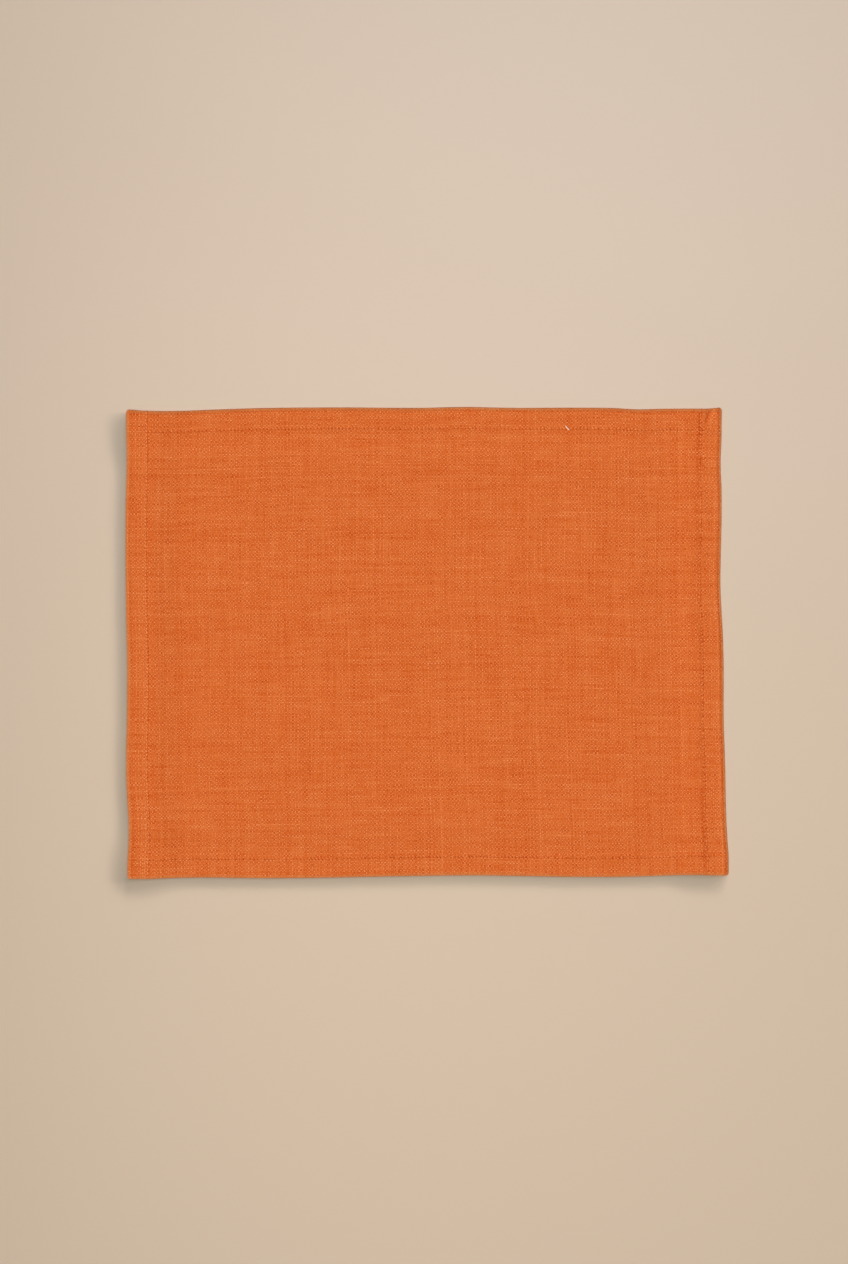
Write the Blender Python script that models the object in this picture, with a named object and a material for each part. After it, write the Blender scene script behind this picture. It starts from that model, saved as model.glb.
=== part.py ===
"""Fabric placemat: one cloth panel, hemmed on its four sides and lying flat with its right side up.

Metres, +Z up, +X along the long side, +Y towards the far side. The origin is the middle of the mat's
bounding box, at the level of the surface that the hems rest on. Sizes below are in millimetres.
"""

import math
from collections import namedtuple

import bmesh
import bpy
import numpy as np

MM = 0.001

# The mat as it lies, between the straight lines that its folded edges wander about.
LENGTH = 450.0
DEPTH = 353.5

# The cloth, and its hem: two turns to the underside, sewn down near their inner fold.
CLOTH_THICK = 1.0
HEM_THICK = 2.4
CORNER_THICK = 3.1  # the side hems are turned over the ends of the other two
FOLD_RADIUS = 1.5  # the outer fold, seen along the edge
RIM_SHARE = 0.15  # of the thickness, left upright in the middle of the fold
CORNER_RADIUS = 2.6  # a corner, seen from above
HEM_WIDTH = {"left": 19.0, "right": 18.2, "near": 17.0, "far": 17.6}

# Along the hem: the sewing draws the layers together, and past the fold the cloth drops to one layer.
STITCH_INSET = 2.2
STITCH_WIDTH = 1.2
STITCH_DEPTH = 0.25
UNDER_STEP = 0.4
DROP = 7.0

# Spacing of the mesh's columns and rows inside the hems.
BODY_SPACING = 18.0

# How far each folded edge strays from its straight line: along is from the edge's middle, and out is
# away from the mat.
Stray = namedtuple("Stray", "along out")
EDGE_STRAY = {
    "left": (
        Stray(-177, -0.3),
        Stray(-160, -0.8),
        Stray(-144, -1.7),
        Stray(-122, -0.8),
        Stray(-100, 0.2),
        Stray(-85, 0.4),
        Stray(-67, 0.0),
        Stray(-45, -0.3),
        Stray(-12, -0.4),
        Stray(24, 0.4),
        Stray(68, 0.8),
        Stray(96, 0.8),
        Stray(112, 0.6),
        Stray(132, 0.0),
        Stray(150, 0.0),
        Stray(177, 0.7),
    ),
    "right": (
        Stray(-177, 3.9),
        Stray(-166, 4.2),
        Stray(-149, 3.2),
        Stray(-131, 2.3),
        Stray(-95, 1.6),
        Stray(-60, 0.5),
        Stray(-20, 0.4),
        Stray(5, -0.1),
        Stray(25, -1.3),
        Stray(42, -2.0),
        Stray(77, -1.5),
        Stray(100, -1.1),
        Stray(122, -1.3),
        Stray(141, -2.0),
        Stray(158, -1.2),
        Stray(177, -1.8),
    ),
    "near": (
        Stray(-224, 1.4),
        Stray(-212, 1.6),
        Stray(-197, 1.0),
        Stray(-173, 0.5),
        Stray(-127, 1.0),
        Stray(-79, 0.6),
        Stray(-31, -0.4),
        Stray(42, -1.1),
        Stray(78, -0.5),
        Stray(126, 0.1),
        Stray(150, -0.2),
        Stray(174, -1.0),
        Stray(200, -1.5),
        Stray(224, -0.4),
    ),
    "far": (
        Stray(-224, -1.7),
        Stray(-188, -2.0),
        Stray(-163, -1.1),
        Stray(-127, 0.1),
        Stray(-55, 0.7),
        Stray(0, 0.4),
        Stray(34, 1.1),
        Stray(66, 0.4),
        Stray(114, 0.5),
        Stray(150, 0.1),
        Stray(163, -0.7),
        Stray(186, -0.2),
        Stray(211, -0.4),
        Stray(224, -0.9),
    ),
}

# Low swells where the single layer doesn't lie quite flat.
Swell = namedtuple("Swell", "x y reach_x reach_y lift")
SWELLS = (
    Swell(-128, 82, 52, 30, 0.5),
    Swell(28, 96, 60, 26, 0.4),
    Swell(142, 34, 40, 58, 0.5),
    Swell(-60, -26, 74, 30, 0.6),
    Swell(-150, -96, 34, 34, 0.4),
    Swell(74, -104, 62, 28, 0.5),
)

CLOTH_COLOUR = (0.68, 0.15, 0.033, 1.0)
CLOTH_ROUGHNESS = 0.9


def clear_scene():
    for obj in list(bpy.data.objects):
        bpy.data.objects.remove(obj, do_unlink=True)


def smooth_through(rows, along):
    """A smooth curve through the rows' points, read at the distances along."""
    at = np.array([row.along for row in rows], float)
    out = np.array([row.out for row in rows], float)
    slope = np.gradient(out, at)
    along = np.clip(along, at[0], at[-1])
    i = np.clip(np.searchsorted(at, along) - 1, 0, len(at) - 2)
    gap = at[i + 1] - at[i]
    t = (along - at[i]) / gap
    ease = t * t * (3 - 2 * t)
    leave = t * (1 - t) ** 2 * gap * slope[i]
    arrive = t * t * (1 - t) * gap * slope[i + 1]
    return out[i] + ease * (out[i + 1] - out[i]) + leave - arrive


def eased(t):
    t = np.clip(t, 0, 1)
    return t * t * (3 - 2 * t)


def hem_stations(width):
    """Distances in from a folded edge at which the hem's section bends."""
    sewing = width - STITCH_INSET
    fold = [FOLD_RADIUS * (1 - math.cos(math.radians(angle))) for angle in (0, 40, 65, 90)]
    stitch = [sewing - STITCH_WIDTH, sewing, sewing + STITCH_WIDTH]
    drop = [width, width + UNDER_STEP, width + DROP * 0.5, width + DROP]
    return fold + stitch + drop


def stations(span, low_hem, high_hem):
    """Places across the whole mat, from one folded edge to the other, as distances from the first."""
    low = hem_stations(low_hem)
    high = [span - inward for inward in reversed(hem_stations(high_hem))]
    count = round((high[0] - low[-1]) / BODY_SPACING)
    body = np.linspace(low[-1], high[0], count + 1)[1:-1]
    return np.concatenate([low, body, high])


def rounded_corner(x_in, y_in):
    """Moves points near a corner, given by their distances in from its two edges, onto round corners."""
    x_gap = np.maximum(CORNER_RADIUS - x_in, 0)
    y_gap = np.maximum(CORNER_RADIUS - y_in, 0)
    length = np.hypot(x_gap, y_gap)
    both = (x_gap > 0) & (y_gap > 0)
    share = np.where(both, np.maximum(x_gap, y_gap) / np.where(both, length, 1), 1)
    return x_gap * (1 - share), y_gap * (1 - share)


def layout(columns, rows):
    """Plan positions of the grid of columns and rows, following the four wandering edges."""
    across, up = np.meshgrid(columns, rows, indexing="ij")
    x, y = across - LENGTH / 2, up - DEPTH / 2
    right_share, far_share = across / LENGTH, up / DEPTH
    x_stray = (
        right_share * smooth_through(EDGE_STRAY["right"], y)
        - (1 - right_share) * smooth_through(EDGE_STRAY["left"], y)
    )
    y_stray = (
        far_share * smooth_through(EDGE_STRAY["far"], x)
        - (1 - far_share) * smooth_through(EDGE_STRAY["near"], x)
    )
    x_in, y_in = np.minimum(across, LENGTH - across), np.minimum(up, DEPTH - up)
    x_round, y_round = rounded_corner(x_in, y_in)
    x = x + x_stray - np.sign(x) * x_round
    y = y + y_stray - np.sign(y) * y_round
    return x - (x.min() + x.max()) / 2, y - (y.min() + y.max()) / 2


def hem_share(places, span, low_hem, high_hem):
    """1 over a hem's band, falling to 0 where the single layer lies flat."""
    past_low = places - low_hem
    past_high = span - places - high_hem
    return 1 - eased(np.minimum(past_low, past_high) / DROP)


def stitch_share(places, span, low_hem, high_hem):
    """1 on a line of sewing, 0 away from it."""
    from_low = np.abs(places - (low_hem - STITCH_INSET))
    from_high = np.abs(span - places - (high_hem - STITCH_INSET))
    return 1 - eased(np.minimum(from_low, from_high) / STITCH_WIDTH)


def heights(columns, rows, x, y):
    """The top and underside of the cloth over the grid."""
    side = (LENGTH, HEM_WIDTH["left"], HEM_WIDTH["right"])
    end = (DEPTH, HEM_WIDTH["near"], HEM_WIDTH["far"])
    across, up = np.meshgrid(columns, rows, indexing="ij")
    side_share, end_share = hem_share(across, *side), hem_share(up, *end)
    either = np.maximum(side_share, end_share)

    swell = sum(
        s.lift * np.exp(-(((x - s.x) / s.reach_x) ** 2) - ((y - s.y) / s.reach_y) ** 2)
        for s in SWELLS
    )
    groove = STITCH_DEPTH * np.maximum(stitch_share(across, *side), stitch_share(up, *end))
    top = (
        CLOTH_THICK
        + (HEM_THICK - CLOTH_THICK) * either
        + (CORNER_THICK - HEM_THICK) * side_share * end_share
        - groove
        + swell * (1 - either)
    )

    # Under the hems the mat rests flat, and past their inner folds one layer is left.
    in_side = (across < side[1] + UNDER_STEP / 2) | (LENGTH - across < side[2] + UNDER_STEP / 2)
    in_end = (up < end[1] + UNDER_STEP / 2) | (DEPTH - up < end[2] + UNDER_STEP / 2)
    under = np.where(in_side | in_end, 0, np.maximum(top - CLOTH_THICK, 0))

    # The outer fold is round.
    x_in, y_in = np.minimum(across, LENGTH - across), np.minimum(up, DEPTH - up)
    inward = np.minimum(np.minimum(x_in, y_in) / FOLD_RADIUS, 1)
    bulge = RIM_SHARE + (1 - RIM_SHARE) * np.sqrt(1 - (1 - inward) ** 2)
    middle, half = (top + under) / 2, (top - under) / 2
    return middle + half * bulge, middle - half * bulge


def build_cloth():
    """The hemmed panel as one closed mesh: a grid laid out over the mat, thickened and shaped."""
    columns = stations(LENGTH, HEM_WIDTH["left"], HEM_WIDTH["right"])
    rows = stations(DEPTH, HEM_WIDTH["near"], HEM_WIDTH["far"])
    x, y = layout(columns, rows)
    top, under = heights(columns, rows, x, y)

    bm = bmesh.new()
    bmesh.ops.create_grid(bm, x_segments=len(columns) - 1, y_segments=len(rows) - 1, size=1)
    lower = list(bm.verts)
    raised = bmesh.ops.extrude_face_region(bm, geom=bm.faces[:])
    upper = [item for item in raised["geom"] if isinstance(item, bmesh.types.BMVert)]
    for verts, height in ((lower, under), (upper, top)):
        for vert in verts:
            i = round((vert.co.x + 1) / 2 * (len(columns) - 1))
            j = round((vert.co.y + 1) / 2 * (len(rows) - 1))
            vert.co = (x[i, j] * MM, y[i, j] * MM, height[i, j] * MM)
    bmesh.ops.recalc_face_normals(bm, faces=bm.faces[:])
    mesh = bpy.data.meshes.new("placemat")
    bm.to_mesh(mesh)
    bm.free()
    mesh.shade_smooth()
    mesh.set_sharp_from_angle(angle=math.radians(40))
    return bpy.data.objects.new("placemat", mesh)


def cloth_material():
    material = bpy.data.materials.new("slub cloth")
    material.use_nodes = True
    shader = material.node_tree.nodes["Principled BSDF"]
    shader.inputs["Base Color"].default_value = CLOTH_COLOUR
    shader.inputs["Roughness"].default_value = CLOTH_ROUGHNESS
    shader.inputs["Metallic"].default_value = 0.0
    material.diffuse_color = CLOTH_COLOUR
    return material


def main():
    clear_scene()
    collection = bpy.data.collections.new("Fabric placemat")
    bpy.context.scene.collection.children.link(collection)
    cloth = build_cloth()
    cloth.data.materials.append(cloth_material())
    collection.objects.link(cloth)


main()
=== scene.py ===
# A fabric placemat lying flat: one panel of slub cloth with a double-turned hem, and the sewing
# that holds the hem, on a pale floor and seen from straight above.
# Lengths are in metres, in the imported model's own frame, except where a note says millimetres.

import math

import bpy
import numpy as np
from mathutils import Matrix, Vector


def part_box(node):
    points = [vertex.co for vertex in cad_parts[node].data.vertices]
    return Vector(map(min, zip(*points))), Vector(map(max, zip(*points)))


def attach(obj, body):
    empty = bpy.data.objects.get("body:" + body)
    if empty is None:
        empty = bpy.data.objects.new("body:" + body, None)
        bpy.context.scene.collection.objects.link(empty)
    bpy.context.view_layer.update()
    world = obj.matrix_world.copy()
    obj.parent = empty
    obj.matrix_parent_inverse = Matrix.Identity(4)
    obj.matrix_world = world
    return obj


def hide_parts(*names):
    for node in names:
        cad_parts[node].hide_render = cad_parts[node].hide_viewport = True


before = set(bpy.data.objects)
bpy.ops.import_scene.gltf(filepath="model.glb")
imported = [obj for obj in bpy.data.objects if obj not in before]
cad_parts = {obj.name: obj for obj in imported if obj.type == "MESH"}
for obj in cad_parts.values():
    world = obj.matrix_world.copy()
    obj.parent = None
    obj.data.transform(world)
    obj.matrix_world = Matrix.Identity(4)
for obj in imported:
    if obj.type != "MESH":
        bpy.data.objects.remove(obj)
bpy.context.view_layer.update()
mm = 0.001
matNode = "placemat"


def addNode(tree, kind, inputs=None, **settings):
    # A new node; inputs are its sockets by name or number, each a value or another node's output.
    node = tree.nodes.new(kind)
    for name, value in settings.items():
        setattr(node, name, value)
    for key, value in (inputs or {}).items():
        if isinstance(value, bpy.types.NodeSocket):
            tree.links.new(value, node.inputs[key])
        else:
            node.inputs[key].default_value = value
    return node


def calc(tree, operation, *values):
    # One step of arithmetic.
    return addNode(tree, "ShaderNodeMath", dict(enumerate(values)), operation=operation).outputs[0]


def plus(tree, total, value, strength):
    return calc(tree, "MULTIPLY_ADD", value, strength, total)


def clamped(tree, value, low, high):
    return calc(tree, "MINIMUM", calc(tree, "MAXIMUM", value, low), high)


def mixed(tree, share, first, second):
    # Sockets 0, 2 and 3 of a Mix node are its factor and its two numbers.
    return addNode(tree, "ShaderNodeMix", {0: share, 2: first, 3: second}).outputs[0]


def vector(tree, x, y, z=0.0):
    return addNode(tree, "ShaderNodeCombineXYZ", {0: x, 1: y, 2: z}).outputs[0]


def vectorMath(tree, operation, a, b, output="Vector"):
    return addNode(tree, "ShaderNodeVectorMath", {0: a, 1: b}, operation=operation).outputs[output]


def noise(tree, place, scale, detail=0.0):
    # Smooth noise, about half to each side of 0.
    inputs = {"Vector": place, "Scale": scale, "Detail": detail}
    return calc(tree, "SUBTRACT", addNode(tree, "ShaderNodeTexNoise", inputs).outputs[0], 0.5)


def randomTone(tree, place, key="W", kind="1D"):
    # One number for each whole number, or for each pair of them, from -0.5 to 0.5.
    node = addNode(tree, "ShaderNodeTexWhiteNoise", {key: place}, noise_dimensions=kind)
    return calc(tree, "SUBTRACT", node.outputs[0], 0.5)


def shadesRamp(tree, factor, shades):
    # A colour between evenly spaced shades, from the first at 0 to the last at 1.
    ramp = addNode(tree, "ShaderNodeValToRGB", {0: factor})
    stops = ramp.color_ramp.elements
    for _ in shades[2:]:
        stops.new(0.5)
    for i, shade in enumerate(shades):
        stops[i].position = i / (len(shades) - 1)
        stops[i].color = shade
    return ramp.outputs[0]


def newMaterial(name, roughness, specular=0.5):
    # A material and its Principled shader.
    material = bpy.data.materials.new(name)
    material.use_nodes = True
    shader = material.node_tree.nodes["Principled BSDF"]
    shader.inputs["Roughness"].default_value = roughness
    shader.inputs["Specular IOR Level"].default_value = specular
    return material, shader


def putInScene(thing):
    bpy.context.scene.collection.objects.link(thing)
    return thing


def madePlain(source, name):
    # The evaluated object as a plain mesh object with no modifiers.
    graph = bpy.context.evaluated_depsgraph_get()
    mesh = bpy.data.meshes.new_from_object(source.evaluated_get(graph), depsgraph=graph)
    mesh.name = name
    bpy.data.objects.remove(source)
    return putInScene(bpy.data.objects.new(name, mesh))


def eased(t):
    t = np.clip(t, 0, 1)
    return t * t * (3 - 2 * t)


outlineSettings = {
    "upright": 0.2,  # a face of the rim's wall has a normal this level
    "zone": 9 * mm,  # and lies this near a side of the box
    "corner": 1.4 * mm,  # left out at each end of an edge, where the corner is round
}


def readEdges(node):
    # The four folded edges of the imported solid, each as places along it and how far out it lies.
    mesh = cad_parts[node].data
    low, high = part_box(node)
    places = {"left": set(), "right": set(), "near": set(), "far": set()}
    for face in mesh.polygons:
        if abs(face.normal.z) > outlineSettings["upright"]:
            continue
        c = face.center
        gaps = {"left": c.x - low.x, "right": high.x - c.x, "near": c.y - low.y, "far": high.y - c.y}
        side = min(gaps, key=gaps.get)
        if gaps[side] < outlineSettings["zone"]:
            places[side].update(tuple(mesh.vertices[v].co[:2]) for v in face.vertices)
    found = {}
    for side, points in places.items():
        points = np.array(sorted(points))
        along, out = (points[:, 1], points[:, 0]) if side in ("left", "right") else points.T
        margin = outlineSettings["corner"]
        keep = (along > along.min() + margin) & (along < along.max() - margin)
        along, first = np.unique(np.round(along[keep], 6), return_index=True)
        found[side] = (along, out[keep][first])
    return found


def smoothThrough(points, at):
    # A smooth curve through the points, read at other places along it.
    along, out = points
    slope = np.gradient(out, along)
    at = np.clip(at, along[0], along[-1])
    i = np.clip(np.searchsorted(along, at) - 1, 0, len(along) - 2)
    gap = along[i + 1] - along[i]
    t = (at - along[i]) / gap
    bend = t * (1 - t) * gap * ((1 - t) * slope[i] - t * slope[i + 1])
    return out[i] + eased(t) * (out[i + 1] - out[i]) + bend


edges = readEdges(matNode)
middle = {side: float(np.mean(points[1])) for side, points in edges.items()}
matLength = middle["right"] - middle["left"]
matDepth = middle["far"] - middle["near"]
print(f"outline read: {matLength / mm:.1f} x {matDepth / mm:.1f} mm between the folds")


clothSettings = {
    "layer": 0.62 * mm,  # one layer of cloth
    "pitch": 0.80 * mm,  # from layer to layer in a hem
    "cornerPitch": 0.64 * mm,  # from layer to layer where two hems are pressed together
    "hem": {"left": 19.0 * mm, "right": 18.2 * mm, "near": 17.0 * mm, "far": 17.6 * mm},
    "turnIn": 10 * mm,  # the first turn, hidden inside the hem
    "foldReach": 0.8 * mm,  # how far in the outer fold's curve reaches
    "innerReach": 0.4 * mm,  # and the inner fold's
    "cornerRadius": 2.2 * mm,
    "sharp": 55,  # faces that meet at more degrees keep a sharp edge
    # How far in from its fold a hem is highest.
    "crest": {"left": 2.4 * mm, "right": 3.6 * mm, "near": 2.6 * mm, "far": 3.4 * mm},
    "edgeDrop": 0.38 * mm,  # how far a hem falls from its crest to its fold
    "edgeRise": 0.14 * mm,  # and how far it swells there over the rest of the hem
    "riseInward": 0.2 * mm,  # from the crest to the swell's middle
    "riseWidth": 1.7 * mm,
    # How far outside a hem's inner fold its sewing lies.
    "stitchInset": {"left": 3.6 * mm, "right": 2.2 * mm, "near": 2.2 * mm, "far": 2.2 * mm},
    "stitchWidth": 1.3 * mm,  # how far the sewing's groove reaches to each side
    "stitchDepth": 0.26 * mm,
    "underPull": 0.8,  # how much of that depth the underside has
    "puckerReach": 3.5 * mm,  # how far the cloth puckers beside the sewing
    "drop": 24 * mm,  # the width over which the top layer comes down past the hem
    "bodyHeight": 0.36 * mm,  # how high the single layer lies past that
    "warpPitch": 1.27 * mm,  # from thread to thread
    "weftPitch": 1.22 * mm,
}

# Unevenness of the cloth: how much, the size of its features, and its seed.
unevenness = {
    "body": (0.10 * mm, 26 * mm, 4),
    "hem": (0.07 * mm, 13 * mm, 6),
    "pucker": (0.05 * mm, 5 * mm, 9),
    "groove": (0.35, 9 * mm, 5),  # as a share of the groove's depth
    "warpLean": (0.6 * mm, 120 * mm, 8),  # threads that don't run quite straight
    "weftBow": (0.9 * mm, 170 * mm, 7),
}

# Spacing of the grid that the cloth is made on.
gridSettings = {
    "edgeZone": 4 * mm,  # next to the outer fold
    "edge": 0.78 * mm,
    "hem": 1.2 * mm,
    "drop": 2.88 * mm,
    "body": 3.4 * mm,
    "groove": (0.55 * mm, 1.2 * mm),  # beside the sewing, on the right side
    "flapGroove": 0.9 * mm,  # and on the underside
    "flapPlain": 3 * mm,  # from the sewing to where the underside is plain
    "flapRows": 5,  # from there to the outer fold
    "turnRows": 3,  # on the hidden turn
    "foldPoints": 9,  # round the outer fold
    "innerPoints": 5,  # and round the inner one
}

# Low swells of the single layer: middle, reach and height, in millimetres.
swells = (
    {"x": -128, "y": 82, "reachX": 52, "reachY": 30, "lift": 0.5},
    {"x": 28, "y": 96, "reachX": 60, "reachY": 26, "lift": 0.4},
    {"x": 142, "y": 34, "reachX": 40, "reachY": 58, "lift": 0.5},
    {"x": -60, "y": -26, "reachX": 74, "reachY": 30, "lift": 0.6},
    {"x": -150, "y": -96, "reachX": 34, "reachY": 34, "lift": 0.4},
    {"x": 74, "y": -104, "reachX": 62, "reachY": 28, "lift": 0.5},
)

# Creases pressed into the hem: two ends in millimetres, half width and depth, and over how much of
# its length each fades in and out.
creases = (
    {
        "start": (215.4, 179.5),
        "end": (208.6, 162.0),
        "width": 1.5,
        "depth": 1.1,
        "fadeIn": 0.25,
        "fadeOut": 0.5,
    },
)

# Corners drawn out a little: the corner, how far it moves and how far in that reaches, in millimetres.
drawnCorners = (
    {"corner": ("left", "far"), "move": (0.0, 1.1), "reach": 9},
    {"corner": ("right", "far"), "move": (0.2, 1.7), "reach": 9},
)

foldEnd = clothSettings["layer"] / 2 + clothSettings["foldReach"]  # where the fold's curve ends
flap, under, over, top = range(4)  # parts of the cloth across a hem, from raw edge to right side


def uneven(kind, x, y):
    # A sum of ten slow waves that run in random directions.
    strength, size, seed = unevenness[kind]
    rng = np.random.default_rng(seed)
    total = 0
    for _ in range(10):
        turn, phase = rng.uniform(0, 2 * math.pi, 2)
        wave = 2 * math.pi / (size * rng.uniform(0.8, 2.0))
        total = total + np.sin((x * math.cos(turn) + y * math.sin(turn)) * wave + phase)
    return strength * (total / 4)


def seamPlace(side):
    # How far in from its folded edge a line of sewing lies.
    return clothSettings["hem"][side] - clothSettings["stitchInset"][side]


def hemSection(side):
    # The cloth's way round a hem, from its raw edge to the right side: how far in from the edge,
    # which layer (0 lowest, 2 on top) and which part.
    width, stitch = clothSettings["hem"][side], seamPlace(side)
    reach, inner = clothSettings["foldReach"], clothSettings["innerReach"]
    outermost = foldEnd - reach
    rows = []
    # The hidden turn, from the raw edge and round the inner fold.
    rawEdge = width - clothSettings["turnIn"]
    for inward in np.linspace(rawEdge, width - inner, gridSettings["turnRows"] + 1)[:-1]:
        rows.append((inward, 1.0, flap))
    for angle in np.linspace(0, math.pi, gridSettings["innerPoints"]):
        rows.append((width - inner + inner * math.sin(angle), 0.5 + 0.5 * math.cos(angle), flap))
    # The underside, out to the fold.
    step, plain = gridSettings["flapGroove"], stitch - gridSettings["flapPlain"]
    outward = np.linspace(plain, outermost + reach, gridSettings["flapRows"] + 1)[:-1]
    for inward in (stitch + step, stitch, stitch - step, *outward):
        rows.append((inward, 0.0, flap))
    # Round the fold, up to the right side.
    for angle in np.linspace(0, math.pi, gridSettings["foldPoints"]):
        part = under if angle < math.pi / 2 else over if angle < math.pi else top
        rows.append((outermost + reach * (1 - math.sin(angle)), 1 - math.cos(angle), part))
    return rows


def topStations(side):
    # Places on the right side over a hem and its drop, closer together at the fold and the sewing.
    stitch, end = seamPlace(side), clothSettings["hem"][side] + clothSettings["drop"]
    close, wide = gridSettings["groove"]
    edge = np.arange(foldEnd, foldEnd + gridSettings["edgeZone"], gridSettings["edge"])
    outer = np.linspace(edge[-1], stitch - wide, 1 + round((stitch - edge[-1]) / gridSettings["hem"]))
    inner = np.linspace(stitch + wide, end, 1 + round((end - stitch) / gridSettings["drop"]))
    return sorted([*edge[1:], *outer[1:], stitch - close, stitch, stitch + close, *inner])


def gridLine(span, lowSide, highSide):
    # All columns, or all rows, of the cloth's grid from one raw edge to the other. Each has its
    # place across the mat, its layer, its part, and its place on the flat cut cloth.
    low, high = hemSection(lowSide), hemSection(highSide)
    lowTop, highTop = topStations(lowSide), topStations(highSide)
    count = round((span - lowTop[-1] - highTop[-1]) / gridSettings["body"])
    body = np.linspace(lowTop[-1], span - highTop[-1], count + 1)[1:-1]
    line = [*low]
    line += [(place, 2.0, top) for place in (*lowTop, *body, *(span - x for x in reversed(highTop)))]
    line += [(span - inward, layer, part) for inward, layer, part in reversed(high)]
    place, layer, part = (np.array(column) for column in zip(*line))
    step = np.hypot(np.diff(place), np.diff(layer) * clothSettings["pitch"])
    flat = np.concatenate([[0], np.cumsum(step)])
    return place, layer, part, flat - flat[len(low) - 1] + foldEnd


def hemShare(place, span, lowSide, highSide):
    # 1 over a hem, coming down to 0 where one layer is left.
    hem = clothSettings["hem"]
    past = np.minimum(place - hem[lowSide], span - place - hem[highSide])
    return 1 - eased((past + clothSettings["innerReach"]) / clothSettings["drop"])


def fromSeam(place, span, lowSide, highSide):
    low, high = seamPlace(lowSide), seamPlace(highSide)
    return np.minimum(np.abs(place - low), np.abs(span - place - high))


def edgeShape(place, span, lowSide, highSide):
    # The soft crest that runs along a hem just inside its fold.
    total = 0
    for inward, side in ((place, lowSide), (span - place, highSide)):
        crest = clothSettings["crest"][side]
        fall = 1 - eased((inward - foldEnd) / (crest - foldEnd))
        fromRise = (inward - crest - clothSettings["riseInward"]) / clothSettings["riseWidth"]
        rise = np.exp(-(fromRise**2))
        total = total - clothSettings["edgeDrop"] * fall + clothSettings["edgeRise"] * rise
    return total


def planPlaces(across, up):
    # Places seen from above, following the four wandering edges and the round corners.
    x, y = middle["left"] + across, middle["near"] + up
    toRight, toFar = np.clip(across / matLength, 0, 1), np.clip(up / matDepth, 0, 1)
    stray = {
        side: smoothThrough(edges[side], y if side in ("left", "right") else x) - middle[side]
        for side in edges
    }
    shiftX = toRight * stray["right"] + (1 - toRight) * stray["left"]
    shiftY = toFar * stray["far"] + (1 - toFar) * stray["near"]
    radius = clothSettings["cornerRadius"]
    gapX = np.maximum(radius - np.minimum(across, matLength - across), 0)
    gapY = np.maximum(radius - np.minimum(up, matDepth - up), 0)
    inCorner = (gapX > 0) & (gapY > 0)
    share = np.where(inCorner, np.maximum(gapX, gapY) / np.maximum(np.hypot(gapX, gapY), 1e-9), 1)
    x = x + shiftX + np.where(across < matLength / 2, 1, -1) * gapX * (1 - share)
    y = y + shiftY + np.where(up < matDepth / 2, 1, -1) * gapY * (1 - share)
    for drawn in drawnCorners:
        sideX, sideY = drawn["corner"]
        awayX = across - (0 if sideX == "left" else matLength)
        awayY = up - (0 if sideY == "near" else matDepth)
        pull = np.exp(-((np.hypot(awayX, awayY) / (drawn["reach"] * mm)) ** 2)) * mm
        x, y = x + drawn["move"][0] * pull, y + drawn["move"][1] * pull
    return x, y


def creaseDepth(x, y):
    total = 0
    for crease in creases:
        start, end = np.array(crease["start"]) * mm, np.array(crease["end"]) * mm
        run = end - start
        length = math.hypot(*run)
        along = ((x - start[0]) * run[0] + (y - start[1]) * run[1]) / length
        aside = ((x - start[0]) * run[1] - (y - start[1]) * run[0]) / length
        fade = eased(along / (crease["fadeIn"] * length))
        fade = fade * eased((length - along) / (crease["fadeOut"] * length))
        groove = np.exp(-((aside / (crease["width"] * mm)) ** 2))
        total = total + crease["depth"] * mm * fade * groove
    return total


def clothHeights(across, up):
    # The middle of the top layer over its lowest place, the part of it that the side hem carries,
    # the spacing of the layers, and how far the sewing draws them together.
    sides, ends = (matLength, "left", "right"), (matDepth, "near", "far")
    x, y = planPlaces(across, up)
    sideShare, endShare = hemShare(across, *sides), hemShare(up, *ends)
    either = np.maximum(sideShare, endShare)
    loose, pressed = clothSettings["pitch"], clothSettings["cornerPitch"]
    pitch = loose + (pressed - loose) * sideShare * endShare
    body = uneven("body", x, y) + clothSettings["bodyHeight"]
    for s in swells:
        away = ((x / mm - s["x"]) / s["reachX"]) ** 2 + ((y / mm - s["y"]) / s["reachY"]) ** 2
        body = body + s["lift"] * mm * np.exp(-away)
    seam = np.minimum(fromSeam(across, *sides), fromSeam(up, *ends))
    pucker = uneven("pucker", x, y) * np.exp(-((seam / clothSettings["puckerReach"]) ** 2))
    pull = (1 - eased(seam / clothSettings["stitchWidth"])) * (1 + uneven("groove", x, y))
    pull = clothSettings["stitchDepth"] * pull
    hem = uneven("hem", x, y) + pucker + edgeShape(across, *sides) + edgeShape(up, *ends)
    stack = (
        2 * pitch * (sideShare + endShare)
        + np.maximum(body, 0) * (1 - either)
        + hem * either
        - pull
        - creaseDepth(x, y)
    )
    return stack, 2 * pitch * sideShare, pitch, pull


def layerHeights(across, up, layers, parts):
    # How high the middle of each layer lies. The side hem's two lower layers carry the end hem.
    stack, base, pitch, pull = clothHeights(across, up)
    (layerX, layerY), (partX, partY) = layers, parts
    foldX, foldY = stack * (1 - layerX / 2), (stack - base) * (1 - layerY / 2)
    flapPull = clothSettings["underPull"] * pull
    z = np.select(
        [
            (partX == top) & (partY == top),
            (partY == top) & (partX == flap),
            (partY == top),
            (partX == top) & (partY == flap),
            (partX == top),
        ],
        [stack, layerX * pitch + flapPull, stack - foldX, base + layerY * pitch + flapPull, stack - foldY],
        stack - np.hypot(foldX, foldY),
    )
    return z + clothSettings["layer"] / 2


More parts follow.
